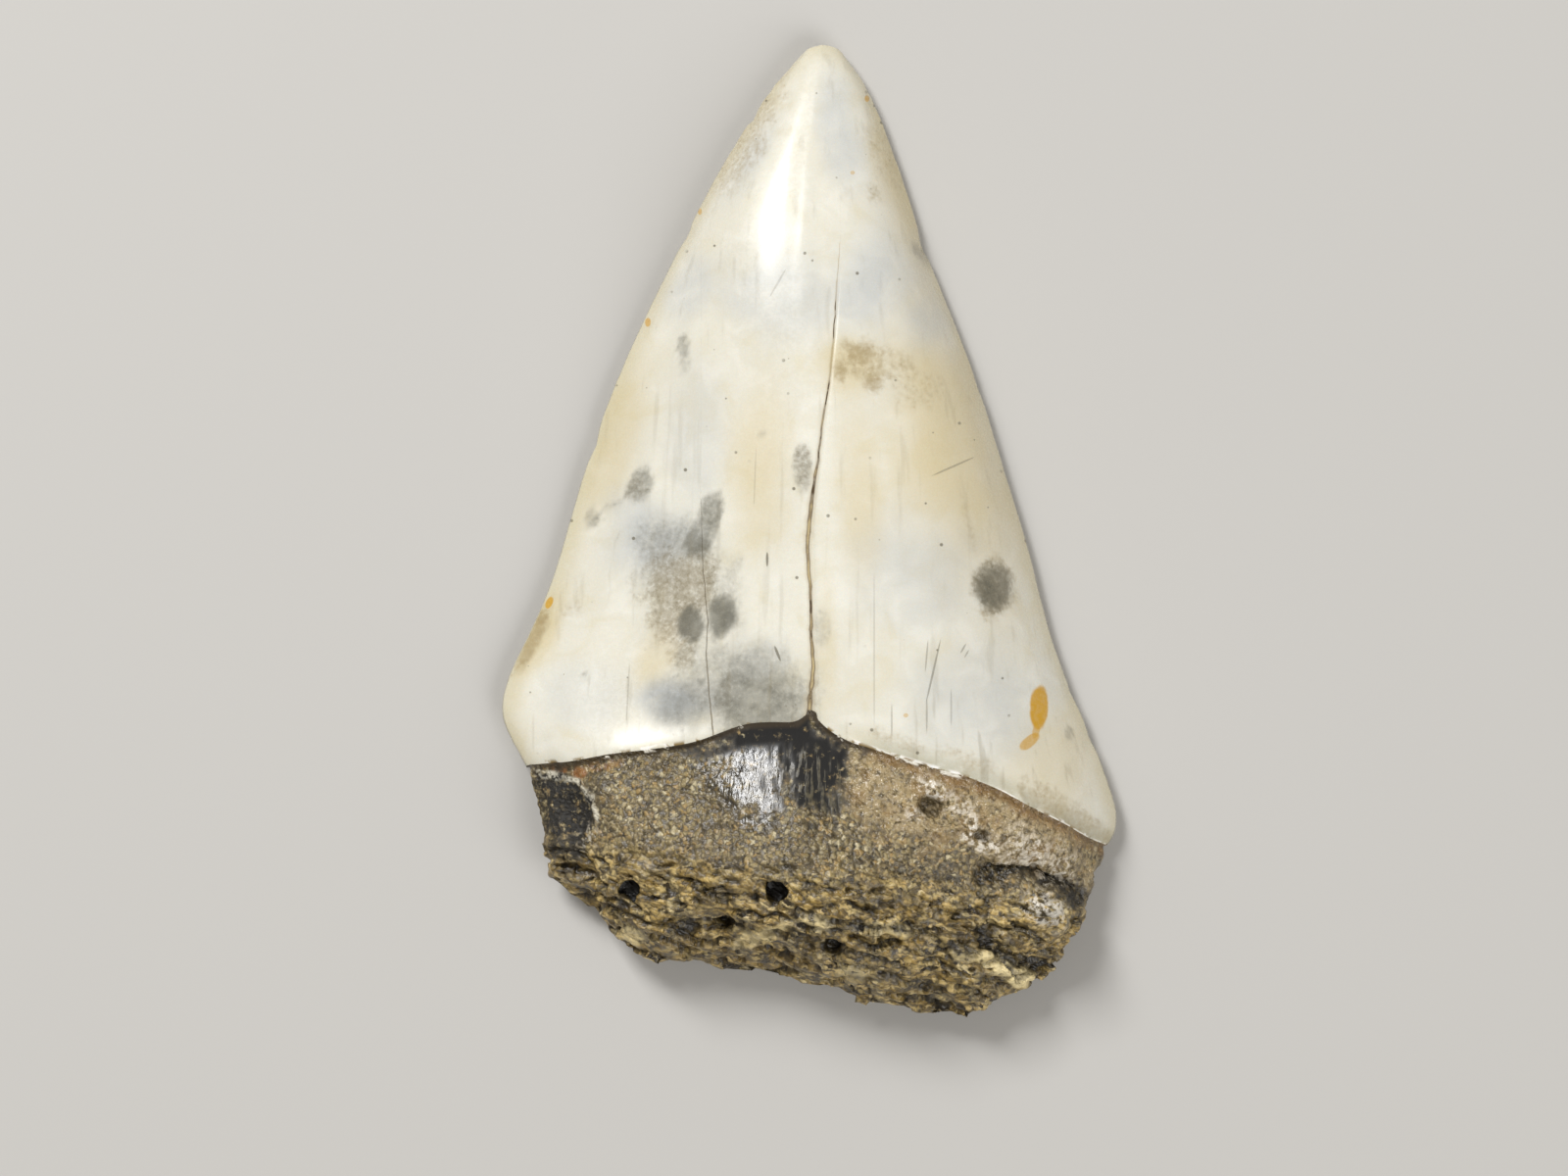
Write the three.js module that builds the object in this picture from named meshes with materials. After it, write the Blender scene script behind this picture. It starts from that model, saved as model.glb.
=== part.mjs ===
// A fossil shark tooth, broad and without serrations, lying on its flat labial face.
// Millimetres, +Z up. +Y runs to the tip, and the convex lingual face looks up, along +Z.
// Crown and root grew as one piece, so the tooth is one solid: rings of points are laid
// round it from the tip to the broken base, and a loft joins them.
import * as THREE from "three";
import { LoftGeometry } from "three/addons/geometries/LoftGeometry.js";
import { ImprovedNoise } from "three/addons/math/ImprovedNoise.js";

// Driving dimensions.
const TIP_Y = 28.0;
const CROWN_BASE_THICKNESS = 7.95;
const ROOT_THICKNESS = 9.3;
const LIP_DROP = 0.25; // how far the enamel stands over the root where it ends
const LIP_WIDTH = 0.16;
const CRACK_HALF_WIDTH = 0.12;
const CRACK_DEPTH = 0.15;

// How finely the solid is faceted.
const CROWN_ROWS = 28;
const ROW_CROWDING = 0.78; // how far the crown's rows close up towards its tip and its base
const ROOT_ROWS = 30;
const HALF_COLUMNS = 25; // on the lingual face, from a side edge to the crack
const COLUMN_CROWDING = 1.15; // over 1, the lingual columns close up towards the side edges
const LABIAL_COLUMNS = 12;
const LABIAL_CROWDING = 1.6;
const FLAT_SHARE = 0.48; // of the labial face's half width, from its middle

// The outline, walked down each side from the tip and along the base from left to right.
const TIP_ARC = [[-0.65, 27.2], [0.0, 27.8], [0.8, TIP_Y], [1.6, 27.8], [2.2, 27.2]];
const CROWN_LEFT = [
  [-0.65, 27.2], [-2.5, 25.0], [-5.4, 20.4], [-7.7, 15.9], [-9.4, 12.5], [-11.4, 8.0], [-13.0, 3.4],
  [-14.3, -1.1], [-15.0, -3.3], [-16.0, -5.6], [-17.3, -8.2], [-17.85, -10.2], [-17.4, -11.8],
  [-16.3, -13.5],
];
const CROWN_RIGHT = [
  [2.2, 27.2], [3.6, 25.0], [5.35, 20.4], [6.8, 15.9], [8.2, 12.5], [9.9, 8.0], [11.3, 3.4],
  [12.7, -1.1], [13.8, -5.6], [15.1, -9.2], [16.5, -12.4], [17.5, -15.2], [17.85, -16.6],
  [17.6, -17.7], [17.2, -18.2],
];
const ROOT_LEFT = [
  [-16.3, -13.5], [-16.2, -14.6], [-15.9, -15.6], [-15.5, -17.2], [-15.4, -18.7], [-15.2, -19.8],
];
const ROOT_RIGHT = [
  [17.2, -18.2], [16.9, -19.0], [16.3, -19.9], [16.3, -20.5], [15.9, -21.4], [15.9, -22.4],
  [15.2, -23.3], [14.8, -24.2], [14.0, -25.3],
];
const ROOT_BASE = [
  [-15.2, -19.8], [-14.1, -20.7], [-12.4, -21.4], [-12.0, -22.2], [-11.2, -23.5], [-9.4, -24.8],
  [-8.2, -25.0], [-4.8, -24.8], [-2.1, -25.3], [0.1, -26.3], [1.5, -26.5], [3.6, -27.4],
  [5.7, -27.7], [9.2, -28.0], [10.7, -27.3], [11.7, -26.8], [12.6, -26.4], [13.6, -25.9],
  [14.0, -25.3],
];

// Where the enamel ends, on the lingual face and on the labial one. The lingual end arches
// over the neck, and has a small notch where the crack runs into it.
const ENAMEL_END = [
  [-16.3, -13.5], [-14.1, -13.4], [-11.7, -12.9], [-9.2, -12.6], [-6.8, -12.2], [-5.6, -11.8],
  [-3.6, -11.1], [-1.8, -11.0], [-0.6, -11.0], [0.1, -10.4], [0.7, -11.1], [1.8, -11.9],
  [4.1, -12.7], [7.0, -13.6], [9.2, -14.2], [11.1, -15.0], [13.3, -16.2], [14.7, -16.9],
  [16.0, -17.7], [17.2, -18.2],
];
const LABIAL_ENAMEL_END = [
  [-16.3, -13.5], [-12.5, -14.9], [-6.0, -16.0], [0.0, -16.5], [6.0, -17.1], [12.0, -17.9],
  [17.2, -18.2],
];
const ENAMEL_END_Y = (ENAMEL_END[0][1] + ENAMEL_END[ENAMEL_END.length - 1][1]) / 2;
const BASE_UNDERCUT = 0.9; // the broken base leans back this far from its lingual rim

// The crack that runs up the crown from the neck, as [y, x].
const CRACK = [
  [-10.4, 0.1], [-7.8, 0.2], [-2.7, 0.05], [0.8, 0.0], [6.2, 0.75], [11.0, 1.4], [16.6, 1.8],
  [27.2, 0.9],
];
const CRACK_OPEN_TO_Y = 2.0;
const CRACK_END_Y = 16.0;

// Heights over the flat face: of the crown's crest against y, and of its cutting edge.
const CREST = [
  [-16.0, CROWN_BASE_THICKNESS], [-14.2, 7.9], [-12.5, 7.82], [-9.0, 7.65], [-4.0, 7.45],
  [2.0, 7.15], [7.0, 6.75], [11.0, 6.3], [14.0, 5.85], [17.0, 5.2], [20.0, 4.4], [23.0, 3.45],
  [25.0, 2.75], [26.2, 2.2], [26.9, 1.8], [27.2, 1.4],
];
const LENS_FULLNESS = [
  [-16.0, 3.0], [-14.5, 2.95], [-13.0, 2.85], [-11.5, 2.75], [-4.0, 2.8], [2.0, 3.0], [8.0, 3.25],
  [16.0, 3.4], [19.0, 3.0], [22.0, 2.5], [25.0, 2.15], [27.2, 2.0],
];
const LENS_ROUNDNESS = 0.95;
const BELL_SPREAD = 0.5;
const BELL_SHARE = [
  [-16.0, 0.13], [-14.0, 0.17], [-12.0, 0.2], [-8.0, 0.2], [4.0, 0.12], [20.0, 0],
];
const SHOULDER = { x: -16.0, y: -14.0, width: 7.0, length: 3.3, height: 2.2 }; // on the left
const CREST_SHIFT = { share: 0.25, fullBelowY: 2, noneAboveY: 18 }; // to the right of the middle
const CUTTING_EDGE = [[-16.0, 1.3], [-4.0, 1.0], [20.0, 0.9], [27.2, 1.0]];
const TIP_LIFT = [[-16.0, 0], [17.5, 0], [23.0, 0.2], [26.0, 0.45], [26.9, 0.6], [27.2, 0.75]];
const LABIAL_CURL = 1.7; // how late the labial face turns up towards its edges

// Down the root, from the neck at 0 to the base at 1: its edge, its slab and its swelling.
const ROOT_EDGE = [[0, 1.3], [0.25, 1.65], [0.7, 2.4], [1, 1.8]];
const ROOT_SLAB = [[0, 3.4], [0.3, 3.6], [0.6, 3.9], [0.85, 2.6], [1, 0.6]];
const SWELLING = [
  [0, 3.4], [0.1, 3.2], [0.2, 2.9], [0.3, 2.8], [0.4, 2.95], [0.55, ROOT_THICKNESS - 6.0],
  [0.7, 3.1], [0.82, 2.5], [0.92, 1.6], [1, 0.2],
];
const SLAB_FULLNESS = 3.2;
const SLAB_ROUNDNESS = 0.6;
const SWELLING_SPREAD = 0.52; // a share of the half width
const SWELLING_SHIFT = [[0, 0.06], [0.6, 0]]; // to the right of the middle
const ROOT_UNDERSIDE = [[0, 0], [0.06, 0.22], [0.5, 0.35], [0.9, 0.5], [1, 1.0]];

// The root's lumps, from coarse to fine. Slice is the level at which the noise is cut.
const LUMPS = [
  { size: 2.6, height: 0.25, brokenHeight: 0.7, slice: 3.1 },
  { size: 1.1, height: 0.12, brokenHeight: 0.42, slice: 7.7 },
];
const UNDERSIDE_LUMPS = { size: 2.2, height: 0.2, slice: 5.5 };

// The broken layers of the base start this far down the root, and drop to the right.
const BREAK_START = 0.55;
const BREAK_FULL = 0.75;
const LEDGE_PITCH = 1.9;
const LEDGE_HEIGHT = 0.34;
const LEDGE_SLANT = 0.22; // for each millimetre to the right
const LEDGE_WAVINESS = { size: 4.0, height: 1.0, slice: 1.2 };

// What wear and breakage did to the root. A pit has a place, a radius and a depth; a bump
// has a depth under zero. A groove follows its points, with a width and a depth.
const PITS = [
  { x: -13.9, y: -16.0, radius: 1.5, depth: 1.7 }, // broken hollow under the left corner
  { x: -12.9, y: -18.0, radius: 1.3, depth: 0.9 },
  { x: 6.8, y: -15.8, radius: 0.8, depth: 0.45 },
  { x: 9.6, y: -17.2, radius: 0.8, depth: 0.4 },
  { x: 13.3, y: -21.8, radius: 1.4, depth: -0.6 },
  { x: 6.3, y: -26.1, radius: 0.9, depth: 0.7 },
  { x: -9.3, y: -22.7, radius: 1.2, depth: -0.4 },
];
const PORES = [
  { x: -10.4, y: -20.7, depth: 1.3 },
  { x: -1.9, y: -20.6, depth: 1.5 },
  { x: -5.0, y: -22.4, depth: 0.7 },
  { x: -7.2, y: -22.7, depth: 0.7 },
  { x: 1.3, y: -24.1, depth: 0.8 },
];
const GROOVES = [
  { points: [[10.3, -19.2], [11.8, -18.8], [13.0, -19.4], [15.2, -20.7]], width: 0.55, depth: 1.0 },
  { points: [[9.9, -22.9], [10.9, -24.1], [12.4, -24.8], [14.0, -25.1]], width: 0.55, depth: 1.0 },
];

const clamp01 = (value) => THREE.MathUtils.clamp(value, 0, 1);
const noise = new ImprovedNoise();

const lumps = (x, y, { size, slice }) => noise.noise(x / size, y / size, slice);

// A smooth flat curve through points, read by its share of the length.
function curve(points) {
  return new THREE.SplineCurve(points.map(([x, y]) => new THREE.Vector2(x, y)));
}

// The value at a place along a list of [place, value], in straight steps between its entries.
function graded(list, place) {
  const next = list.findIndex(([at]) => at > place);
  if (next === 0) return list[0][1];
  if (next === -1) return list[list.length - 1][1];
  const [from, low] = list[next - 1];
  const [to, high] = list[next];
  return THREE.MathUtils.lerp(low, high, (place - from) / (to - from));
}

// A four-sided patch between curves: top and bottom run left to right, the sides run down.
function patch(top, bottom, left, right) {
  return (across, down) => {
    const side = left.getPointAt(down).lerp(right.getPointAt(down), across);
    const level = top.getPointAt(across).lerp(bottom.getPointAt(across), down);
    const topCorners = left.getPointAt(0).lerp(right.getPointAt(0), across);
    const lowCorners = left.getPointAt(1).lerp(right.getPointAt(1), across);
    return side.add(level).sub(topCorners.lerp(lowCorners, down));
  };
}

const crownLeft = curve(CROWN_LEFT);
const crownRight = curve(CROWN_RIGHT);
const rootLeft = curve(ROOT_LEFT);
const rootRight = curve(ROOT_RIGHT);
const tipArc = curve(TIP_ARC);
const base = curve(ROOT_BASE);
const labialBase = curve(
  ROOT_BASE.map(([x, y], i) => {
    const share = i / (ROOT_BASE.length - 1);
    return [x, y + BASE_UNDERCUT * Math.sin(Math.PI * share) ** 0.5];
  }),
);
const enamelEnd = curve(ENAMEL_END);
const labialEnamelEnd = curve(LABIAL_ENAMEL_END);

const CROWN = {
  lingual: patch(tipArc, enamelEnd, crownLeft, crownRight),
  labial: patch(tipArc, labialEnamelEnd, crownLeft, crownRight),
};
const ROOT = {
  lingual: patch(enamelEnd, base, rootLeft, rootRight),
  labial: patch(labialEnamelEnd, labialBase, rootLeft, rootRight),
};

// How far across a row the crack lies, from 0 at the left edge to 1 at the right.
function crackPlace(plan, down) {
  const left = plan(0, down);
  const right = plan(1, down);
  let across = 0.5;
  for (let tries = 0; tries < 4; tries += 1) {
    const x = graded(CRACK, plan(across, down).y);
    across = (x - left.x) / (right.x - left.x);
  }
  return across;
}

// The lingual columns close up towards the side edges. Three of them hold the crack in the
// crown, and spread out below it.
function lingualColumns(plan, down, cracked) {
  const middle = crackPlace(plan, down);
  const rowWidth = plan(1, down).x - plan(0, down).x;
  const y = plan(middle, down).y;
  const closing = clamp01((y - CRACK_OPEN_TO_Y) / (CRACK_END_Y - CRACK_OPEN_TO_Y));
  const crack = (CRACK_HALF_WIDTH * (1 - 0.6 * closing)) / rowWidth;
  const spreading = cracked ? 0 : THREE.MathUtils.smoothstep(down, 0, 0.2);
  const gap = THREE.MathUtils.lerp(crack, COLUMN_CROWDING / (2 * HALF_COLUMNS), spreading);
  const shares = [...Array(HALF_COLUMNS).keys()].map((i) => i / (HALF_COLUMNS - 1));
  const half = shares.map((share) => share ** COLUMN_CROWDING);
  const left = half.map((share) => (middle - gap) * share);
  const right = half.map((share) => 1 - (1 - middle - gap) * share);
  return [...left, middle, ...right.reverse()];
}

// The crown's section from edge to edge: a lens with thin edges, which leans to a bell
// towards the base, where the middle is much thicker than the shoulders.
function crownSection(across, rowY) {
  const { share, fullBelowY, noneAboveY } = CREST_SHIFT;
  const shift = share * (1 - THREE.MathUtils.smoothstep(rowY, fullBelowY, noneAboveY));
  const s = across - shift * (1 - across * across);
  const lens = (1 - Math.abs(s) ** graded(LENS_FULLNESS, rowY)) ** LENS_ROUNDNESS;
  const bell = Math.exp(-((s / BELL_SPREAD) ** 2)) * (1 - s * s);
  return THREE.MathUtils.lerp(lens, bell, graded(BELL_SHARE, rowY));
}

// The left corner of the crown's base is thick and round. This is its height over the section.
function shoulder(x, y, s) {
  const reach = Math.hypot((x - SHOULDER.x) / SHOULDER.width, (y - SHOULDER.y) / SHOULDER.length);
  return SHOULDER.height * Math.exp(-(reach ** 2)) * (1 - Math.abs(s) ** 8);
}

// The labial face is flat in its middle, and rises to the edges, where this is 1.
const labialRise = (s) => clamp01((Math.abs(s) - FLAT_SHARE) / (1 - FLAT_SHARE)) ** LABIAL_CURL;

// The root's section: a slab with round sides, and a swelling in its middle.
function rootSection(s, down) {
  const slab = graded(ROOT_SLAB, down) * (1 - Math.abs(s) ** SLAB_FULLNESS) ** SLAB_ROUNDNESS;
  const reach = (s - graded(SWELLING_SHIFT, down)) / SWELLING_SPREAD;
  return slab + graded(SWELLING, down) * Math.exp(-(reach ** 2));
}

function distanceToLine(x, y, points) {
  const here = new THREE.Vector3(x, y, 0);
  const nearest = new THREE.Vector3();
  const distances = points.slice(1).map(([toX, toY], i) => {
    const from = new THREE.Vector3(points[i][0], points[i][1], 0);
    new THREE.Line3(from, new THREE.Vector3(toX, toY, 0)).closestPointToPoint(here, true, nearest);
    return nearest.distanceTo(here);
  });
  return Math.min(...distances);
}

// Lumps, ledges, pits and grooves of the root at a place, as a height over its smooth form.
function rootRelief(x, y, down, s) {
  const broken = THREE.MathUtils.smoothstep(down, BREAK_START, BREAK_FULL);
  const waviness = LEDGE_WAVINESS.height * lumps(x, y, LEDGE_WAVINESS);
  const layer = (y + LEDGE_SLANT * x + waviness) / LEDGE_PITCH;
  let height = broken * LEDGE_HEIGHT * (2 * (layer - Math.floor(layer)) - 1);
  for (const lump of LUMPS) {
    height += THREE.MathUtils.lerp(lump.height, lump.brokenHeight, broken) * lumps(x, y, lump);
  }
  height *= THREE.MathUtils.smoothstep(down, 0.02, 0.25);
  for (const pit of PITS) {
    const reach = Math.hypot(x - pit.x, y - pit.y) / pit.radius;
    height -= pit.depth * Math.exp(-(reach ** 2));
  }
  for (const groove of GROOVES) {
    const reach = distanceToLine(x, y, groove.points) / groove.width;
    height -= groove.depth * Math.exp(-(reach ** 2));
  }
  return height * (1 - Math.abs(s) ** 8);
}

function crownPoint(plan, across, down, side) {
  const spot = plan(across, down);
  const s = 2 * across - 1;
  const rowY = plan(0, down).add(plan(1, down)).y / 2;
  const edge = graded(CUTTING_EDGE, rowY);
  let z = edge + (graded(CREST, rowY) - edge) * crownSection(s, rowY) + shoulder(spot.x, spot.y, s);
  if (side === "labial") {
    const lift = graded(TIP_LIFT, rowY);
    z = lift + (edge - lift) * labialRise(s);
  }
  return new THREE.Vector3(spot.x, spot.y, z);
}

function rootPoint(plan, across, down, side) {
  const spot = plan(across, down);
  const s = 2 * across - 1;
  const edge = graded(ROOT_EDGE, down);
  if (side === "labial") {
    const under = graded(ROOT_UNDERSIDE, down);
    const rise = labialRise(s);
    const swell = UNDERSIDE_LUMPS.height * (lumps(spot.x, spot.y, UNDERSIDE_LUMPS) + 0.5);
    const z = under + swell * (1 - rise) * down + (edge - under) * rise;
    return new THREE.Vector3(spot.x, spot.y, z);
  }
  const crown = (CROWN_BASE_THICKNESS - LIP_DROP - edge) * crownSection(s, ENAMEL_END_Y);
  const blend = THREE.MathUtils.smoothstep(down, 0, 0.34);
  const smooth = edge + THREE.MathUtils.lerp(crown, rootSection(s, down), blend);
  const z = smooth + rootRelief(spot.x, spot.y, down, s) + shoulder(spot.x, spot.y, s);
  return new THREE.Vector3(spot.x, spot.y, z);
}

// The crack's own column sinks, and it heals towards the tip.
function sinkCrack(point) {
  const fade = clamp01((CRACK_END_Y - point.y) / (CRACK_END_Y - CRACK_OPEN_TO_Y));
  point.z -= CRACK_DEPTH * fade;
}

// One closed ring, counterclockwise seen from the base: labial face, then lingual face back.
function ring(plans, pointOf, down, cracked) {
  const points = [];
  for (let i = 0; i < LABIAL_COLUMNS; i += 1) {
    const share = (2 * i) / LABIAL_COLUMNS - 1;
    const s = Math.sign(share) * (1 - (1 - Math.abs(share)) ** LABIAL_CROWDING);
    points.push(pointOf(plans.labial, (s + 1) / 2, down, "labial"));
  }
  const columns = lingualColumns(plans.lingual, down, cracked).reverse();
  columns.pop();
  columns.forEach((across, i) => {
    const point = pointOf(plans.lingual, across, down, "lingual");
    if (cracked && i === HALF_COLUMNS) sinkCrack(point);
    points.push(point);
  });
  return points;
}

// The pore mouths: the nearest point of the lingual face is drawn onto the pore and sunk.
function sinkPores(rings) {
  const lingual = rings.flatMap((points) => points.slice(LABIAL_COLUMNS + 1));
  for (const pore of PORES) {
    const away = (point) => Math.hypot(point.x - pore.x, point.y - pore.y);
    const mouth = lingual.reduce((best, point) => (away(point) < away(best) ? point : best));
    mouth.set(pore.x, pore.y, mouth.z - pore.depth);
  }
}

function makeTooth() {
  const crownRings = [];
  for (let i = 0; i <= CROWN_ROWS; i += 1) {
    const share = i / CROWN_ROWS;
    const down = THREE.MathUtils.lerp(share, THREE.MathUtils.smoothstep(share, 0, 1), ROW_CROWDING);
    crownRings.push(ring(CROWN, crownPoint, down, i > 0));
  }
  const rootRings = [];
  const lip = LIP_WIDTH / rootRight.getLength();
  for (let i = 0; i < ROOT_ROWS; i += 1) {
    const down = THREE.MathUtils.lerp(lip, 1, i / (ROOT_ROWS - 1));
    rootRings.push(ring(ROOT, rootPoint, down, false));
  }
  sinkPores(rootRings);
  const solid = new LoftGeometry([...crownRings, ...rootRings], {
    closed: true,
    capStart: true,
    capEnd: true,
  });
  solid.computeBoundingBox();
  const { min, max } = solid.boundingBox;
  return solid.translate(-(min.x + max.x) / 2, -(min.y + max.y) / 2, -min.z);
}

const tooth = new THREE.Mesh(
  makeTooth(),
  new THREE.MeshStandardMaterial({ color: "#d9d5c6", roughness: 0.35, metalness: 0 }),
);
tooth.name = "tooth";

const group = new THREE.Group();
group.add(tooth);

export default group;
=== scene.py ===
from math import atan2, cos, pi, radians, sin

import bmesh
import bpy
import numpy as np
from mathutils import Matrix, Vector, noise
from mathutils.kdtree import KDTree


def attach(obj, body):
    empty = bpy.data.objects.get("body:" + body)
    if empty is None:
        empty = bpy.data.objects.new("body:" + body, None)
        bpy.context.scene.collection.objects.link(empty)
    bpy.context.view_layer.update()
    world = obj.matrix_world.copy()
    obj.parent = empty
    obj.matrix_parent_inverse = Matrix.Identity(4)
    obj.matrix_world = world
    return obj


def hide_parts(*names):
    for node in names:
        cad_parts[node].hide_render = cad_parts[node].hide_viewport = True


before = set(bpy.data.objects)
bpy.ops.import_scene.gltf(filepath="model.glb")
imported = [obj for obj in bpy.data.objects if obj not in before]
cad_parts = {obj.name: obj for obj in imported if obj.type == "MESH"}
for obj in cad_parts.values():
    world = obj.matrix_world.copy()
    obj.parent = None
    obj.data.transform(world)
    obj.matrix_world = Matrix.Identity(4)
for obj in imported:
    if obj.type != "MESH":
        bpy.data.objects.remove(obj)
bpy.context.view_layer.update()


# The camera
# It looks straight down on the tooth, which lies on its flat face, so that the tip points
# to the picture's upper edge.
MM = 0.001
PICTURE_WIDTH = 90.6 * MM  # how much the picture spans, at the height of the cutting edges
PICTURE_MIDDLE = (-1.44 * MM, -3.34 * MM)
CUTTING_EDGE_HEIGHT = 1 * MM
CAMERA_HEIGHT = 500 * MM
SENSOR_WIDTH = 36  # in mm, as Blender takes it

camera = bpy.data.objects.new("camera", bpy.data.cameras.new("camera"))
camera.data.sensor_width = SENSOR_WIDTH
camera.data.lens = SENSOR_WIDTH * (CAMERA_HEIGHT - CUTTING_EDGE_HEIGHT) / PICTURE_WIDTH
camera.data.clip_start = 50 * MM
camera.location = (*PICTURE_MIDDLE, CAMERA_HEIGHT)
bpy.context.scene.collection.objects.link(camera)
bpy.context.scene.camera = camera


# The tooth: its form
# Crown and root are one natural piece: a smooth crown of enamel on a root of rough dentine
# that was worn and broken off short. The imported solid's form is kept, on a mesh fine enough
# for the grain of the root.

# Where the enamel ends on the lingual face, which looks up, and on the labial one, in mm.
ENAMEL_END = np.array([
    (-16.3, -13.5), (-14.1, -13.4), (-11.7, -12.9), (-9.2, -12.6), (-6.8, -12.2), (-5.6, -11.8),
    (-3.6, -11.1), (-1.8, -11.0), (-0.6, -11.0), (0.1, -10.4), (0.7, -11.1), (1.8, -11.9),
    (4.1, -12.7), (7.0, -13.6), (9.2, -14.2), (11.1, -15.0), (13.3, -16.2), (14.7, -16.9),
    (16.0, -17.7), (17.2, -18.2),
])
LABIAL_ENAMEL_END = np.array([
    (-16.3, -13.5), (-12.5, -14.9), (-6.0, -16.0), (0.0, -16.5), (6.0, -17.1), (12.0, -17.9),
    (17.2, -18.2),
])
ROW_SLOPE = 52  # degrees; no row of the solid's facets falls more steeply to the right
SAME_POINT = 0.0001 * MM
ENAMEL_END_SHARPNESS = 0.8
CUTTING_EDGE_SHARPNESS = 0.7
FOLD_HALF_WIDTH = 4 * MM
FOLD_END = -19 * MM
FOLD_PASSES = 50


def rises(face):
    return face.normal.z > 0


def middle_edge(face):
    """The edge that lies between the other two, turning clockwise seen from outside."""
    side = 1 if rises(face) else -1

    def turn(edge):
        along = edge.verts[1].co - edge.verts[0].co
        return (atan2(-along.y, side * along.x) + radians(ROW_SLOPE)) % pi

    return sorted(face.edges, key=turn)[1]


form = bmesh.new()
form.from_mesh(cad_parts["tooth"].data)
bmesh.ops.remove_doubles(form, verts=form.verts, dist=SAME_POINT)

# The facets are quads in rows, each split along a diagonal that lies between its row and its
# column. Without the diagonals the mesh refines evenly.
form.normal_update()
middle = {face: middle_edge(face) for face in form.faces}
diagonals = [
    edge for edge in form.edges
    if len(edge.link_faces) == 2 and all(middle[face] is edge for face in edge.link_faces)
]
bmesh.ops.dissolve_edges(form, edges=diagonals, use_verts=False)

# The crown's faces take the first material, the root's the second.
form.normal_update()
for face in form.faces:
    x, y, _ = face.calc_center_median() / MM
    end = ENAMEL_END if rises(face) else LABIAL_ENAMEL_END
    face.material_index = int(y < np.interp(x, end[:, 0], end[:, 1]))
    face.smooth = True

# Where the enamel ends, and along the cutting edges, the form stays crisp as it is refined.
sharpness = form.edges.layers.float.new("crease_edge")
for edge in form.edges:
    kinds = {face.material_index for face in edge.link_faces}
    if kinds == {0, 1}:
        edge[sharpness] = ENAMEL_END_SHARPNESS
    elif kinds == {0} and len({rises(face) for face in edge.link_faces}) == 2:
        edge[sharpness] = CUTTING_EDGE_SHARPNESS

tooth = bpy.data.objects.new("fossil_tooth", bpy.data.meshes.new("fossil_tooth"))
bpy.context.scene.collection.objects.link(tooth)
form.to_mesh(tooth.data)
enamel = bpy.data.materials.new("fossil_enamel")
dentine = bpy.data.materials.new("fossil_dentine")
tooth.data.materials.append(enamel)
tooth.data.materials.append(dentine)

finer = tooth.modifiers.new("finer", "SUBSURF")
finer.levels = 2
finer.render_levels = 2
depsgraph = bpy.context.evaluated_depsgraph_get()
tooth.data = bpy.data.meshes.new_from_object(tooth.evaluated_get(depsgraph))
tooth.modifiers.clear()

# The root's facets are wider than they are high, so they are halved in width once more.
form.clear()
form.from_mesh(tooth.data)
across = [
    edge for edge in form.edges
    if all(face.material_index == 1 and face.normal.z > -0.2 for face in edge.link_faces)
    and abs(edge.verts[0].co.x - edge.verts[1].co.x) > 0.8 * edge.calc_length()
]
bmesh.ops.subdivide_edges(form, edges=across, cuts=1, use_grid_fill=False)

# The notch where the crack meets the root leaves a fold in the neck, which is smoothed out.
form.normal_update()
folded = [
    vert for vert in form.verts
    if vert.normal.z > 0 and abs(vert.co.x) < FOLD_HALF_WIDTH and FOLD_END < vert.co.y
    and all(face.material_index == 1 for face in vert.link_faces)
]
for _ in range(FOLD_PASSES):
    bmesh.ops.smooth_vert(form, verts=folded, factor=0.5, use_axis_z=True)
form.to_mesh(tooth.data)

# Each point of the mesh, in mm, and which way it faces. x and y follow places when it changes.
mesh = tooth.data
count = len(mesh.vertices)
places = np.empty(3 * count)
outward = np.empty(3 * count)
mesh.vertices.foreach_get("co", places)
mesh.vertex_normals.foreach_get("vector", outward)
places = places.reshape(-1, 3) / MM
outward = outward.reshape(-1, 3)
x, y = places.T[:2]
above = outward[:, 2] > 0


def ramp(values, start, end):
    """From 0 at the start to 1 at the end, easing in and out; the start may be the larger."""
    share = np.clip((values - start) / (end - start), 0, 1)
    return share * share * (3 - 2 * share)


def lumps(size, seed):
    """Smooth noise from -1 to 1 with lumps of a size in mm, which may differ by axis."""
    shift = Vector((seed, 2 * seed, 0))
    return np.array([noise.noise(Vector(spot) + shift) for spot in places / size])


def marks(ovals, wobble, blur=0.35):
    """How far each point of the upper side is in an oval mark: up to 1, and 0 outside.

    An oval is its middle, its half width and height, how far it turns clockwise in degrees,
    and its strength.
    """
    amount = np.zeros(count)
    for middle_x, middle_y, half_width, half_height, turn, strength in ovals:
        right = x - middle_x
        up = y - middle_y
        cosine = cos(radians(turn))
        sine = sin(radians(turn))
        sideways = (cosine * right - sine * up) / half_width
        lengthways = (sine * right + cosine * up) / half_height
        reach = np.hypot(sideways, lengthways)
        amount = np.maximum(amount, strength * ramp(reach + wobble, 1 + blur, 1 - blur))
    return np.where(above, amount, 0)


enamel_end = np.where(
    above,
    np.interp(x, ENAMEL_END[:, 0], ENAMEL_END[:, 1]),
    np.interp(x, LABIAL_ENAMEL_END[:, 0], LABIAL_ENAMEL_END[:, 1]),
)
below_enamel = enamel_end - y
in_root = ramp(below_enamel, 0.0, 0.5)

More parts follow.
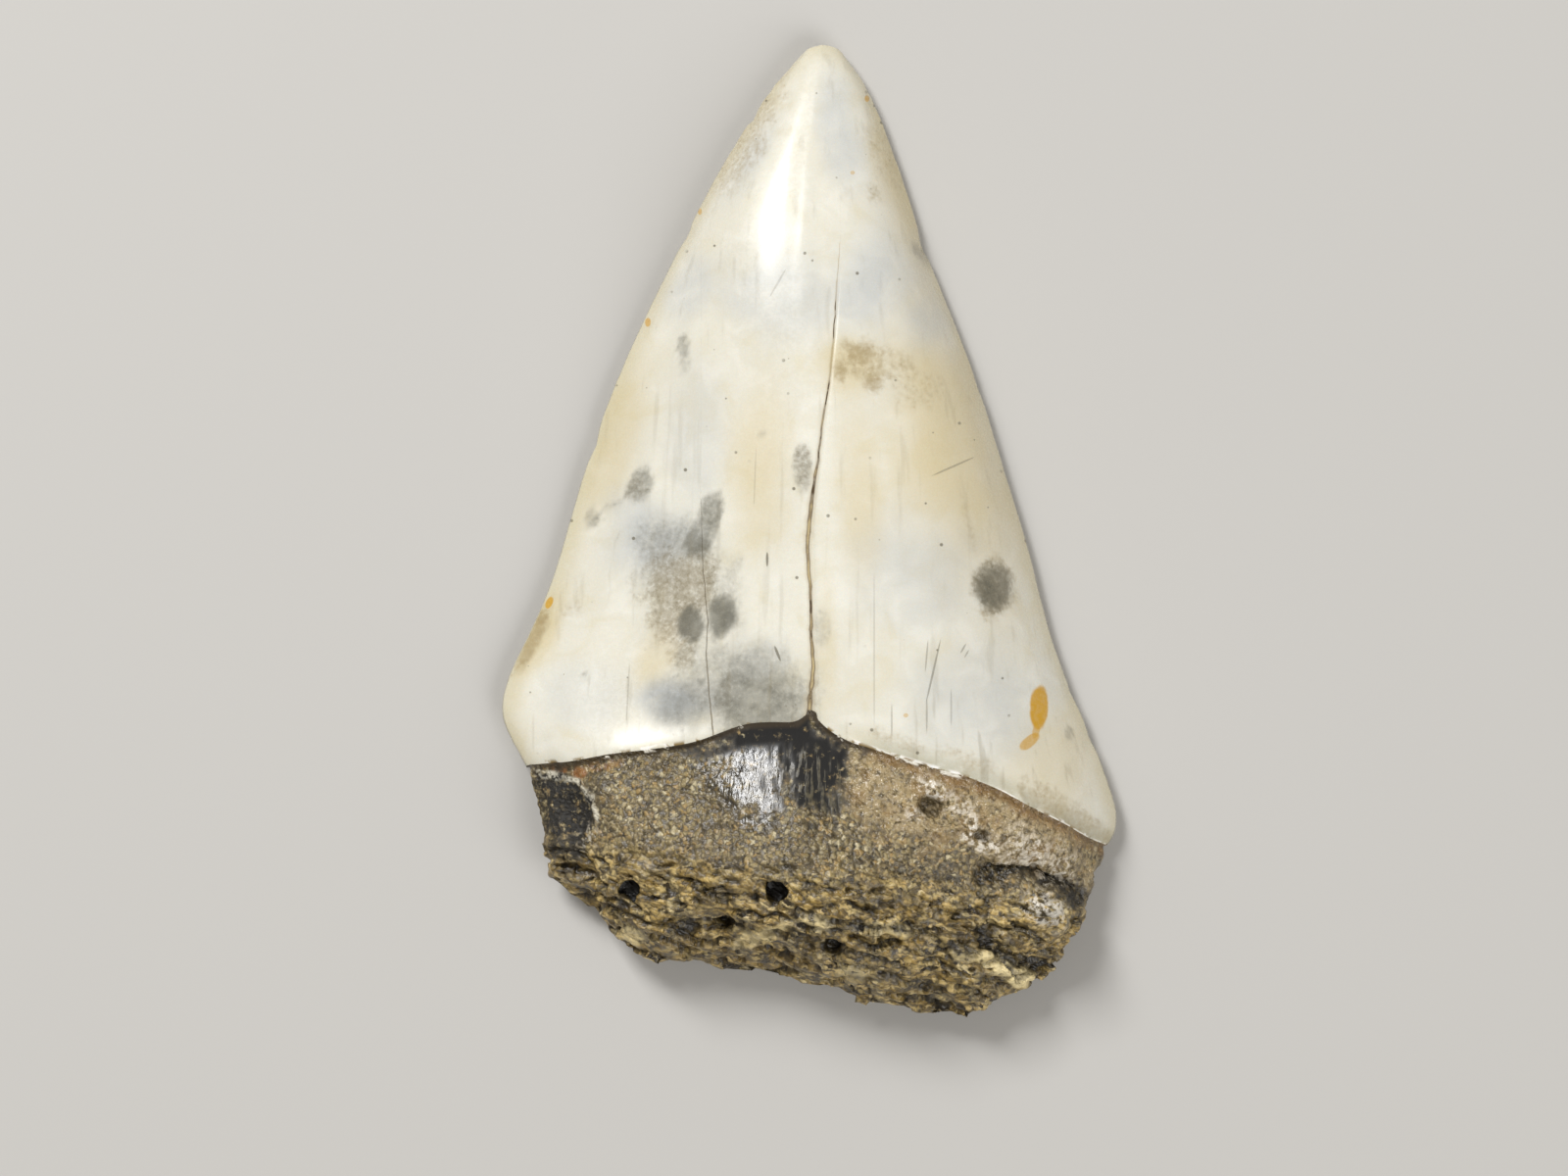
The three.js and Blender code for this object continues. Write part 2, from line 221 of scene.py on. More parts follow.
# How far each point is from the crown's cutting edges.
form.normal_update()
cutting_edges = [
    (edge.verts[0].co + edge.verts[1].co) / 2 for edge in form.edges
    if len({rises(face) for face in edge.link_faces}) == 2
    and all(face.material_index == 0 for face in edge.link_faces)
]
nearest = KDTree(len(cutting_edges))
for index, spot in enumerate(cutting_edges):
    nearest.insert(spot, index)
nearest.balance()
from_edge = np.array([nearest.find(Vector(spot) * MM)[2] for spot in places]) / MM
form.free()


def strokes(lines, wobble):
    """How far each point of the upper side is in a stroke, as marks() gives it.

    A stroke is its half width, its strength, and the points that it runs through.
    """
    amount = np.zeros(count)
    for half_width, strength, points in lines:
        for (from_x, from_y), (to_x, to_y) in zip(points, points[1:]):
            run = to_x - from_x
            rise = to_y - from_y
            share = ((x - from_x) * run + (y - from_y) * rise) / (run ** 2 + rise ** 2)
            share = np.clip(share, 0, 1)
            away = np.hypot(x - from_x - share * run, y - from_y - share * rise)
            amount = np.maximum(amount, strength * ramp(away / half_width + wobble, 1.4, 0.6))
    return np.where(above, amount, 0)


def swell(middle_x, middle_y, half_width, half_height, fall=0):
    """A smooth swelling of the upper side, 1 at its middle, which may fall to the right."""
    up = y - middle_y + fall * (x - middle_x)
    reach = ((x - middle_x) / half_width) ** 2 + (up / half_height) ** 2
    return np.where(above, np.exp(-reach), 0)


# The zones of the root: ovals and strokes in mm, as marks() and strokes() take them.
NECK = [
    (-1.6, -12.1, 3.7, 1.6, 6, 1), (0.5, -13.4, 1.9, 2.6, 0, 1), (-3.0, -14.2, 2.0, 2.2, 0, 0.85),
    (-6.4, -12.6, 1.8, 0.5, 10, 0.6), (-5.2, -13.6, 1.4, 1.2, 0, 0.5),
]
PITS = [(6.8, -15.8, 0.75), (9.6, -17.2, 0.6)]  # in the tan zone, each in a raised ring
CHIP = [(-14.3, -16.0, 1.6, 2.2, -25, 1), (-14.0, -18.0, 1.1, 1.4, -20, 0.8)]
# The chip's raised rim is painted pale along its arc: a painted highlight, a row of glints.
GLINTING_CHIP_RIM = [(0.2, 1, [(-15.6, -13.9), (-13.6, -14.4), (-12.8, -15.5), (-12.2, -16.6)])]
TAN = [
    (5.6, -15.2, 4.0, 2.6, 24, 1), (11.0, -17.0, 5.0, 2.2, 28, 1), (3.0, -14.0, 1.8, 2.4, 0, 0.6),
]
# Hollows, and the crevices below, sink into the root and are darkened with painted shade.
HOLLOWS = [
    (6.3, -26.2, 0.8, 0.5, 0, 0.9), (-4.8, -22.4, 0.5, 0.35, 0, 1), (-7.0, -22.9, 0.8, 0.45, -20, 1),
    (6.9, -15.7, 0.8, 0.6, 0, 0.7), (10.0, -17.2, 0.5, 0.5, 0, 0.6), (1.3, -24.1, 0.8, 0.4, 15, 0.9),
    (2.2, -20.2, 0.7, 0.4, 0, 0.6), (-1.5, -19.3, 1.4, 0.3, 0, 0.5), (10.4, -23.4, 0.6, 0.5, 40, 0.8),
]
CREVICES = [
    (0.72, 1, [(10.0, -19.7), (11.4, -19.2), (12.7, -19.5), (13.9, -20.2), (15.1, -21.2)]),
    (0.28, 1, [(9.8, -22.9), (10.5, -23.9), (11.9, -24.9), (13.6, -25.3)]),
    (0.16, 0.8, [(-0.6, -21.8), (1.2, -22.3), (6.0, -22.9), (8.3, -23.9), (9.4, -24.4)]),
    (0.18, 0.8, [(-1.2, -22.8), (1.2, -24.1), (3.0, -24.4), (5.0, -24.9)]),
    (0.18, 0.6, [(4.8, -19.4), (6.7, -19.8), (8.4, -20.0)]),
    (0.22, 0.7, [(-8.4, -22.6), (-6.0, -22.4), (-3.5, -22.9)]),
    (0.18, 0.6, [(-12.6, -21.2), (-11.0, -21.9), (-9.6, -23.2)]),
    (0.16, 0.6, [(1.5, -20.6), (4.0, -21.2), (7.0, -21.6), (9.5, -22.3)]),
]
NODULES = [
    (10.2, -24.6, 0.6, 0.45, 0, 0.9), (11.1, -25.1, 0.7, 0.55, 0, 1), (12.1, -25.7, 0.8, 0.55, 0, 1),
    (-2.4, -23.0, 1.4, 0.35, -20, 0.6), (0.3, -22.4, 0.8, 0.5, 20, 0.7),
    (-10.2, -23.2, 0.8, 0.35, 25, 0.7), (4.4, -22.7, 1.3, 0.35, 10, 0.6),
    (-3.4, -23.4, 1.0, 0.4, -25, 0.6), (2.5, -25.4, 0.9, 0.4, 15, 0.5), (8.8, -24.4, 0.8, 0.3, 15, 0.6),
]
# Painted glints: near-white spots on the tan zone and the lumps, standing in as colour for the glints of
# the glossy surface.
PAINTED_GLINTS = [
    (7.0, -14.7, 0.9, 0.45, 30, 0.9), (5.9, -16.2, 0.5, 0.4, 0, 0.6), (9.0, -16.9, 0.5, 0.8, 20, 1),
    (10.2, -17.6, 0.7, 0.4, 30, 0.8), (9.4, -18.0, 0.5, 0.3, 0, 0.8), (12.4, -18.0, 1.6, 0.8, 30, 0.6),
    (14.0, -19.4, 1.0, 1.3, 20, 0.7), (10.8, -18.5, 0.6, 0.3, 0, 0.6), (13.2, -21.8, 1.1, 0.8, 30, 0.8),
    (8.3, -15.6, 0.8, 0.6, 20, 0.5), (-12.8, -17.6, 0.6, 0.8, 0, 0.4),
]
ORANGE = [
    (-14.6, -13.7, 0.6, 0.2, 5, 0.9), (-13.4, -13.9, 0.5, 0.35, 0, 0.9),
    (-11.8, -13.4, 1.2, 0.25, -8, 0.4),
]
soft = 0.3 * lumps(1.6, 3)
ragged = 0.35 * lumps(0.9, 31) + 0.2 * lumps(0.35, 37)
neck = marks(NECK, 1.5 * ragged)
chip = marks(CHIP, ragged, 0.2)
glinting_chip_rim = strokes(GLINTING_CHIP_RIM, 2.5 * ragged) * ramp(lumps(0.7, 47), -0.5, 0.0)
tan = marks(TAN, soft + ragged)
hollow = marks(HOLLOWS, ragged)
nodule = marks(NODULES, ragged)
orange = marks(ORANGE, ragged)
painted_glint = marks(PAINTED_GLINTS, ragged, 0.6)
broken = ramp(y + 0.12 * x + 2 * soft, -18.5, -21.0) * in_root

# Where the root is broken, its layers show as ledges that fall to the right, with
# crevices under some of them, darkened with painted shade.
layer = (y + 0.22 * x + 0.7 * lumps(2.4, 7) + 0.25 * lumps(0.9, 8)) / 0.95
step = layer - np.floor(layer)
some = ramp(lumps((2.2, 0.8, 1.0), 9), -0.2, 0.2)
ledge = broken * some * (step - 0.5)
shaded_crevice = np.maximum(strokes(CREVICES, ragged), 0.9 * broken * some * ramp(step, 0.45, 0.1))

# How far each point is raised, in mm: the grain first, then the larger swellings.
smooth = 1 - np.maximum.reduce([neck, 0.3 * tan, 0.5 * chip])
height = in_root * smooth * (0.10 * lumps(0.32, 17) + 0.08 * lumps(0.8, 13))
height += tan * (0.14 * lumps(0.55, 19) + 0.16 * lumps(1.6, 20))
height += 1.05 * in_root * swell(10.6, -18.0, 5.0, 2.4, 0.35)
height += 0.10 * in_root * swell(-3.7, -14.6, 2.0, 2.4)
low_lump = swell(13.4, -22.0, 1.5, 1.2)
height += 0.8 * low_lump
for pit_x, pit_y, radius in PITS:
    reach = np.hypot(x - pit_x, y - pit_y) / radius + 0.6 * ragged
    ring = 0.22 * np.exp(-((reach - 1.2) / 0.4) ** 2)
    height += np.where(above, ring - 0.3 * np.exp(-reach ** 2), 0)
    hollow = np.maximum(hollow, np.where(above, 0.7 * ramp(reach, 0.9, 0.4), 0))
height += broken * (0.22 * lumps((1.3, 0.5, 0.6), 11) + 0.15 * lumps((2.4, 0.9, 1.0), 12))
void = broken * ramp(lumps((0.9, 0.45, 0.5), 61), 0.22, 0.42)
hollow = np.maximum(hollow, 0.8 * void) * (1 - nodule)
height += 0.42 * ledge - 0.22 * shaded_crevice - 0.12 * void
height += 0.22 * nodule + 0.08 * glinting_chip_rim - 0.25 * hollow - 0.15 * chip

# The enamel swells into a lip along its end, left of the neck, and is flatter at that corner.
lip = np.exp(-(below_enamel ** 2)) * ramp(x, -3.5, -6.5) * (1 - ramp(below_enamel, 0, 0.3))
corner = swell(-16, -14, 7, 3.3) * ramp(from_edge, 0.3, 2.5)
height += np.where(above, 0.2 * lip, 0) - 0.45 * corner

# Pores, where vessels ran into the root, sink straight in, and are painted black inside as shade.
PORES = [
    (-10.4, -20.7, 0.50, 1.0), (-1.9, -20.6, 0.50, 1.0), (-5.1, -22.4, 0.28, 0.5),
    (1.3, -24.1, 0.3, 0.5),
]
pore = np.zeros(count)
for pore_x, pore_y, radius, depth in PORES:
    reach = np.hypot(x - pore_x, y - pore_y) / radius + 0.9 * ragged
    pore = np.maximum(pore, np.where(above, ramp(reach, 1.3, 0.65), 0))
    height -= depth * np.where(above, ramp(reach, 1.3, 0.6), 0)

# Nicks and wear in the cutting edges.
NICKS = [
    (6.9, 16.4, 0.45, 0.30), (6.6, 17.2, 0.3, 0.12), (-3.3, 23.8, 0.35, 0.14), (-7.1, 17.1, 0.5, 0.14),
    (-12.4, 4.9, 0.7, 0.18), (15.2, -9.4, 0.4, 0.10), (16.3, -12.0, 0.5, 0.12), (9.8, 8.4, 0.4, 0.08),
]
level = outward * (1, 1, 0)
worn = 0.05 * ramp(from_edge, 0.5, 0.0) * lumps(0.55, 43)
for nick_x, nick_y, radius, depth in NICKS:
    worn -= depth * np.exp(-(((x - nick_x) ** 2 + (y - nick_y) ** 2) / radius ** 2))
places += height[:, None] * outward + worn[:, None] * level
mesh.vertices.foreach_set("co", (places * MM).ravel())

# The stains of the crown, listed like the zones of the root. The ochre spots and the fine
# scratches are kept for the material, which draws them sharper than the mesh's points could.
# The scratches are drawn 0.08 to 0.16 mm wide, wide enough to show.
GREY = [
    (-7.2, 10.5, 0.42, 0.7, 0, 0.6), (-7.15, 9.6, 0.38, 0.8, 0, 0.35), (-2.7, 5.4, 0.3, 0.3, 0, 0.35),
    (-9.75, 2.6, 0.78, 1.1, 25, 0.65), (-12.5, 0.7, 0.5, 0.65, 0, 0.5),
    (-11.4, 1.3, 0.8, 0.25, -20, 0.35), (-11.0, -0.6, 0.2, 0.25, 0, 0.4), (-10.2, -0.5, 0.3, 0.2, 0, 0.4),
    (-5.6, 1.1, 0.7, 1.1, 15, 0.7), (-6.0, 0.0, 0.8, 1.0, 20, 0.65), (-6.5, -0.9, 0.9, 0.8, 10, 0.9),
    (-4.3, -2.2, 0.45, 1.0, 30, 0.35), (-6.75, -5.4, 0.85, 1.0, 0, 1), (-8.7, -4.3, 0.3, 0.4, 0, 0.5),
    (-5.0, -4.9, 0.9, 1.4, 8, 0.9), (-7.0, -7.3, 0.7, 1.4, 25, 0.45), (-7.2, -9.9, 1.7, 1.2, -20, 0.5),
    (-6.3, -8.9, 0.8, 1.4, 0, 0.5), (-4.1, -7.6, 0.7, 0.6, 0, 0.55), (-1.5, -7.6, 0.5, 0.7, 0, 0.4),
    (-0.4, 3.5, 0.6, 1.6, 0, 0.5), (0.7, -5.6, 0.6, 1.2, 0, 0.35), (10.55, -3.3, 1.2, 1.4, -8, 0.85),
    (15.0, -11.7, 0.35, 0.5, 0, 0.45), (-12.9, -8.4, 0.3, 0.2, 0, 0.5),
    (-6.2, -8.8, 0.25, 0.3, 0, 0.8), (6.5, 15.9, 0.4, 0.95, -42, 0.5),
]
GREY_HAZE = [
    (-8.1, -0.9, 2.2, 2.0, 0, 0.5), (-7.4, -3.2, 3.2, 3.2, 10, 0.45), (-6.0, -4.4, 2.4, 2.6, 0, 0.4),
    (-3.0, -9.8, 3.3, 2.8, 0, 0.75), (-7.0, -9.9, 2.3, 2.0, -20, 0.6), (-5.4, -8.6, 1.6, 2.2, 0, 0.5),
]
BROWN = [
    (-7.5, -3.4, 2.2, 2.1, 25, 0.6), (-6.4, -2.4, 1.3, 1.4, 0, 0.5), (-7.3, -6.9, 0.8, 1.5, 20, 0.5),
    (-8.1, -5.6, 1.0, 1.0, 30, 0.6), (-9.9, 2.4, 0.6, 0.9, 25, 0.4), (-0.4, 3.5, 0.5, 1.6, 0, 0.4),
    (2.8, 10.2, 1.0, 0.6, 20, 0.8), (1.8, 9.0, 0.5, 0.6, 0, 0.8), (3.8, 19.3, 0.5, 0.6, 0, 0.4),
    (10.55, -3.3, 1.2, 1.5, -8, 0.8),
    (3.5, 8.5, 0.7, 0.5, 0, 0.75), (3.2, 9.4, 1.9, 1.4, 20, 0.5), (-4.9, -9.6, 0.6, 1.6, 0, 0.3),
    (5.2, 9.5, 1.1, 0.7, 0, 0.45), (-15.9, -6.1, 0.5, 2.4, 26, 0.8), (-13.9, -4.6, 0.9, 0.6, -20, 0.35),
    (14.8, -16.3, 3.2, 0.8, 33, 0.5), (6.2, 8.0, 1.6, 1.2, 0, 0.3), (5.0, -12.0, 1.8, 0.5, 20, 0.35),
    (9.0, 0.6, 0.3, 2.2, -14, 0.25), (4.5, 21.6, 1.1, 2.6, -14, 0.3), (9.0, -13.2, 2.0, 0.6, 22, 0.35),
    (-3.6, 22.6, 1.4, 4.2, 30, 0.45),
]
OCHRE = [
    (13.2, -10.2, 0.53, 1.2, 4, 1), (12.6, -12.15, 0.32, 0.68, 52, 0.75), (13.0, -11.55, 0.2, 0.4, 15, 0.6),
    (3.35, 24.9, 0.14, 0.2, 0, 0.8), (-6.3, 18.4, 0.12, 0.2, 0, 0.7), (-9.3, 12.0, 0.16, 0.25, 0, 0.8),
    (-15.0, -4.2, 0.18, 0.34, 25, 0.9), (5.5, -10.6, 0.14, 0.12, 0, 0.5), (2.5, 20.5, 0.13, 0.11, 0, 0.5),
]
SCRATCHES = [
    (7.1, -8.0, 0.06, 1.8, 13, 0.55), (6.7, -7.2, 0.05, 0.9, 5, 0.45), (6.7, -10.6, 0.05, 1.0, 0, 0.45),
    (8.1, -10.1, 0.05, 1.0, 0, 0.35), (4.7, -10.9, 0.05, 0.9, 0, 0.4), (3.7, -7.1, 0.05, 4.3, 0, 0.25),
    (8.8, -6.8, 0.05, 0.3, 30, 0.5), (9.0, -7.1, 0.05, 0.25, 30, 0.45), (8.2, 3.6, 0.06, 1.3, 66, 0.45),
    (-2.4, -1.7, 0.07, 0.4, 0, 0.8), (-1.8, -7.1, 0.08, 0.45, -22, 0.8), (-1.8, 14.1, 0.06, 0.9, 30, 0.3),
    (-3.1, 3.0, 0.04, 1.6, 2, 0.25), (-10.4, -9.4, 0.05, 1.6, 3, 0.3),
]
BLUE = [
    (-2.0, 13.6, 3.0, 2.4, 20, 0.6), (6.6, -2.6, 3.6, 3.0, 0, 0.5), (1.6, 23.2, 1.1, 3.0, -10, 0.7),
    (3.6, 14.0, 2.2, 2.6, 0, 0.8), (6.6, 11.9, 1.8, 1.4, 0, 0.6), (-7.0, 13.6, 1.2, 1.8, 20, 0.6),
    (-3.4, 21.0, 0.7, 2.6, 30, 0.6),
    (-7.6, -9.8, 2.2, 1.1, 0, 1.0), (-9.0, -0.6, 2.4, 2.4, 0, 0.8), (9.5, -9.8, 3.4, 3.0, 0, 0.6),
    (-13.0, -9.5, 2.8, 1.6, 0, 0.4), (-6.4, 5.0, 1.6, 3.6, 0, 0.4), (-3.0, -7.8, 2.0, 1.4, 0, 0.4),
]
WARM = [
    (2.6, 9.3, 1.8, 1.6, 0, 0.8), (-15.6, -6.2, 0.8, 2.8, 26, 0.8),
    (8.3, 5.2, 3.3, 7.6, -14, 0.9), (-3.0, 3.6, 1.6, 4.0, 0, 0.7), (3.0, 2.0, 1.2, 4.0, 0, 0.6),
    (-9.0, -7.7, 0.9, 1.6, 15, 0.5), (-11.0, 6.0, 1.4, 5.0, 18, 0.6), (5.2, 20.4, 1.0, 5.0, -14, 0.9),
    (14.0, -13.5, 2.2, 2.6, 30, 0.5), (1.0, -6.0, 0.5, 4.0, 0, 0.4),
]
cloudy = 0.5 * lumps(2.5, 41)
grey = np.maximum(marks(GREY, 0.4 * ragged), marks(GREY_HAZE, 0.5 * ragged + 0.4 * cloudy, 0.6))
brown = marks(BROWN, 1.2 * ragged, 0.5)
blue = marks(BLUE, cloudy, 0.7)
warm = marks(WARM, cloudy, 0.7)

# The main crack and a hairline beside it run up from the neck. Each point keeps how many
# half widths it lies beside them, so that they stay sharp between the points.
CRACK = np.array([
    (-10.6, 0.0), (-9.6, 0.05), (-7.8, 0.25), (-6.0, 0.1), (-4.0, 0.1), (-2.7, 0.0), (-1.0, -0.1),
    (0.8, 0.03), (1.7, 0.14), (4.2, 0.54), (6.2, 0.76), (8.5, 1.16), (11.0, 1.39), (13.8, 1.56),
    (16.6, 1.78),
])
CRACK_WIDTH = np.array([
    (-10.6, 0.26), (-7.8, 0.18), (-4.0, 0.14), (-1.0, 0.18), (1.7, 0.20), (4.2, 0.10),
    (8.5, 0.08), (13.0, 0.05), (16.0, 0.02), (17.0, 0.001),
])
HAIRLINE = np.array([
    (-11.7, -5.5), (-9.1, -5.75), (-7.0, -5.9), (-5.3, -5.8), (-2.0, -6.1), (2.4, -6.2),
])
HAIRLINE_WIDTH = np.array([(-9.0, 0.07), (-5.0, 0.05), (-1.0, 0.03), (2.4, 0.001)])
wiggle = np.array([noise.noise((0, place / 0.7, 0)) for place in y])
beside = 1 + 0.5 * np.array([noise.noise((9, place / 0.45, 0)) for place in y])
crack = x - np.interp(y, CRACK[:, 0], CRACK[:, 1]) - 0.06 * wiggle
crack = crack / (0.5 * beside * np.interp(y, CRACK_WIDTH[:, 0], CRACK_WIDTH[:, 1]))
hairline = x - np.interp(y, HAIRLINE[:, 0], HAIRLINE[:, 1]) - 0.05 * wiggle
hairline = hairline / (0.5 * np.interp(y, HAIRLINE_WIDTH[:, 0], HAIRLINE_WIDTH[:, 1]))
crack = np.where(above, crack, 99 * np.sign(crack))
hairline = np.where(above, hairline, 99 * np.sign(hairline))

# The neck is polished left of a ragged line, and matt right of it and close to the enamel.
right_of_polish = ramp(x + 1.3 * lumps((0.3, 1.6, 1.0), 71), -2.7, -0.7)
matt = neck * np.maximum(ramp(below_enamel, 1.6, 1.0), right_of_polish)

# What each point keeps for the two materials to read.
kept = {
    "below_enamel": below_enamel, "neck": neck, "chip": chip, "glinting_chip_rim": glinting_chip_rim, "tan": tan,
    "hollow": np.maximum(hollow, shaded_crevice), "nodule": nodule, "orange": orange, "broken": broken,
    "painted_glint": painted_glint,
    "pore": pore, "grey": grey, "brown": brown, "blue": blue, "warm": warm,
    "crack": crack, "hairline": hairline, "from_edge": from_edge, "right": ramp(x, 2.0, 5.0),
    "lingual": above.astype(float), "white_rim": ramp(x, 4.6, 5.4) * ramp(x, 9.2, 8.2),
    "glossy": np.maximum.reduce([neck, tan, 0.8 * low_lump]),
    "matt": np.maximum(0.5 * chip, matt),
}
for name, values in kept.items():
    mesh.attributes.new(name, "FLOAT", "POINT").data.foreach_set("value", values)


# The tooth: its enamel
# Hard and naturally polished, it has kept its gloss while minerals stained it from cream to
# blue grey. It is thin and clear at the cutting edges.
def linear(colour):
    """A colour written as sRGB hex, in linear light."""
    parts = [int(colour[i:i + 2], 16) / 255 for i in (1, 3, 5)]
    return (*(p / 12.92 if p < 0.04045 else ((p + 0.055) / 1.055) ** 2.4 for p in parts), 1)


def add(tree, kind, inputs, out=None, **settings):
    """Add a node with its settings, link or fill in its inputs, and return one output."""
    made = tree.nodes.new("ShaderNode" + kind)
    for name, value in settings.items():
        setattr(made, name, value)
    sockets = {socket.name: socket for socket in made.inputs if socket.enabled}
    sockets.update(enumerate(made.inputs))
    for name, value in inputs.items():
        if isinstance(value, bpy.types.NodeSocket):
            tree.links.new(value, sockets[name])
        else:
            sockets[name].default_value = value
    return next(socket for socket in made.outputs if socket.enabled and out in (None, socket.name))


def sized(millimetres):
    """The scale that gives a pattern lumps or cells of this size in mm."""
    return 1 / (millimetres * MM)


enamel.use_nodes = True
tree = enamel.node_tree
shader = tree.nodes["Principled BSDF"]
place = add(tree, "TexCoord", {}, out="Object")
field = {
    name: add(tree, "Attribute", {}, out="Fac", attribute_name=name)
    for name in (
        "below_enamel", "from_edge", "right", "lingual", "white_rim", "grey", "brown", "blue", "warm",
        "crack", "hairline",
    )
}
mottle = add(tree, "TexNoise", {"Vector": place, "Scale": sized(1.111), "Detail": 4})
fine = add(
    tree, "TexNoise", {"Vector": place, "Scale": sized(0.2857), "Detail": 4, "Roughness": 0.65},
)
clouds = add(tree, "TexNoise", {"Vector": place, "Scale": sized(6.25), "Detail": 3})
blots = add(tree, "TexNoise", {"Vector": place, "Scale": sized(2), "Detail": 5, "Distortion": 0.6})

# Faint lines run along the crown, about 0.6 mm apart and 10 mm long.
along = add(tree, "VectorMath", {0: place, 1: (1, 0.06, 1)}, operation="MULTIPLY")
fibres = add(tree, "TexNoise", {"Vector": along, "Scale": sized(0.625), "Detail": 3})

# One cell in five holds a dark speck, which is up to 0.25 mm across.
specks = add(
    tree, "TexVoronoi", {"Vector": place, "Scale": sized(1.25)}, out="Distance",
    voronoi_dimensions="2D",
)
speck_seed = add(tree, "SeparateColor", {"Color": specks.node.outputs["Color"]}, out="Blue")


def mask(*parts):
    """How much of a layer shows: the product of its parts.

    A part is a value as it stands, or a value eased from low at its start to high at its end,
    as (value, start, end) or (value, start, end, low, high).
    """
    amount = None
    for part in parts:
        if isinstance(part, tuple):
            value, start, end, low, high = (*part, 0, 1)[:5]
            limits = {"Value": value, "From Min": start, "From Max": end, "To Min": low, "To Max": high}
            part = add(tree, "MapRange", limits, interpolation_type="SMOOTHSTEP")
        if amount is None:
            amount = part
        else:
            amount = add(tree, "Math", {0: amount, 1: part}, operation="MULTIPLY")
    return amount


def layered(base, layers):
    """A base colour under tinted layers, each with its own mask; the last one lies on top."""
    surface = linear(base)
    for amount, tint in layers:
        colours = {"Factor": amount, "A": surface, "B": linear(tint)}
        surface = add(tree, "Mix", colours, data_type="RGBA")
    return surface


def stained(amount, unevenness):
    """A stain whose edge is ragged and whose inside is finely mottled."""
    uneven = add(tree, "Math", {0: fine, 1: 0.5}, operation="SUBTRACT")
    uneven = mask(uneven, unevenness, (amount, 0.02, 0.3))
    uneven = add(tree, "Math", {0: uneven, 1: amount}, operation="ADD")
    return mask((uneven, 0.05, 1), (mottle, 0.3, 0.7, 0.75, 1))


def oval(middle_x, middle_y, half_width, half_height, turn, strength):
    """An oval stain on the lingual side, given in mm like the marks of the root."""
    size = (half_width * MM, half_height * MM, 1)
    middle = (middle_x * MM, middle_y * MM, 0)
    centred = add(
        tree, "Mapping",
        {"Vector": place, "Location": middle, "Rotation": (0, 0, -radians(turn)), "Scale": size},
        vector_type="TEXTURE",
    )
    reach = add(tree, "VectorMath", {0: centred}, out="Value", operation="LENGTH")
    reach = add(tree, "Math", {0: mottle, 1: 0.5, 2: reach}, operation="MULTIPLY_ADD")
    return mask((reach, 1.42, 1.12, 0, strength), (fine, 0.4, 0.7, 1, 0.9), field["lingual"])


speck_size = mask((speck_seed, 0.8, 1, 0, 0.10))
speck = add(tree, "Math", {0: speck_size, 1: specks}, operation="SUBTRACT")
beside_crack = add(tree, "Math", {0: field["crack"]}, operation="ABSOLUTE")
beside_hairline = add(tree, "Math", {0: field["hairline"]}, operation="ABSOLUTE")
crack_dark = mask((field["below_enamel"], -23, -15, 0.2, 0.85), (blots, 0.42, 0.52, 0.4, 1))
crumbs = add(tree, "TexNoise", {"Vector": place, "Scale": sized(0.6667), "Detail": 3})
rim_crumbs_and_glint = add(tree, "Math", {0: field["white_rim"], 1: 0.2, 2: blots}, operation="MULTIPLY_ADD")
surface = layered("#e9e6d8", [
    (mask((clouds, 0.35, 0.65, 0, 0.3)), "#d3cdb9"),
    (mask((blots, 0.50, 0.68, 0, 0.35)), "#dcd3b4"),
    (mask((blots, 0.48, 0.32, 0, 0.4)), "#f2f0e6"),
    (mask(field["warm"], 0.75), "#d6c596"),
    (mask(field["blue"], (blots, 0.35, 0.6, 0.5, 0.8)), "#c3c8cc"),
    (mask((field["from_edge"], 2.0, 0.0, 0, 0.45)), "#c9bb8c"),
    (mask((field["below_enamel"], -1.6, 0.0, 0, 0.15)), "#b5b098"),
    (mask((field["below_enamel"], -1.3, -0.1, 0, 0.5), field["right"]), "#a5a187"),
    (mask(stained(field["brown"], 1.3), 0.85), "#a18d62"),
    (mask(stained(field["grey"], 0.7), 0.95), "#676559"),
    (mask((fibres, 0.58, 0.72), (field["below_enamel"], -6, -1, 0.14, 0.3)), "#85795a"),
    (mask((speck, 0.0, 0.04), (blots, 0.35, 0.6, 0.1, 0.8)), "#6f6957"),
    *((oval(*spot), "#d0a02e") for spot in OCHRE),
    *((oval(*spot), "#6f6a5a") for spot in SCRATCHES),
    (mask((beside_hairline, 1.6, 0.6, 0, 0.55)), "#7b6c50"),
    (mask((beside_crack, 4.0, 1.2, 0, 0.3)), "#b09a6c"),
    (mask((beside_crack, 1.5, 0.9), crack_dark), "#66533a"),
    (mask((beside_crack, 0.8, 0.4), (field["below_enamel"], -15, -8, 0, 0.9)), "#9c8a68"),
    (mask((beside_crack, 0.9, 0.3), (blots, 0.50, 0.62)), "#c3b185"),
    (mask((beside_crack, 1.2, 0.8), (blots, 0.50, 0.40)), "#54442e"),
    # Pale crumbs along the enamel's broken end, partly a painted highlight of its broken face.
    (mask((field["below_enamel"], -0.26, -0.10), (rim_crumbs_and_glint, 0.61, 0.66)), "#f8f5ee"),
    (mask((field["below_enamel"], -0.14, -0.06), field["right"], (blots, 0.49, 0.55)), "#efebdf"),
    (mask((field["below_enamel"], -0.25, 0.0), (crumbs, 0.52, 0.62)), "#8a7449"),
])
tree.links.new(surface, shader.inputs["Base Color"])
shader.inputs["IOR"].default_value = 1.6  # near that of apatite
shader.inputs["Subsurface Weight"].default_value = 0.15
shader.inputs["Subsurface Radius"].default_value = (1.0, 0.8, 0.6)
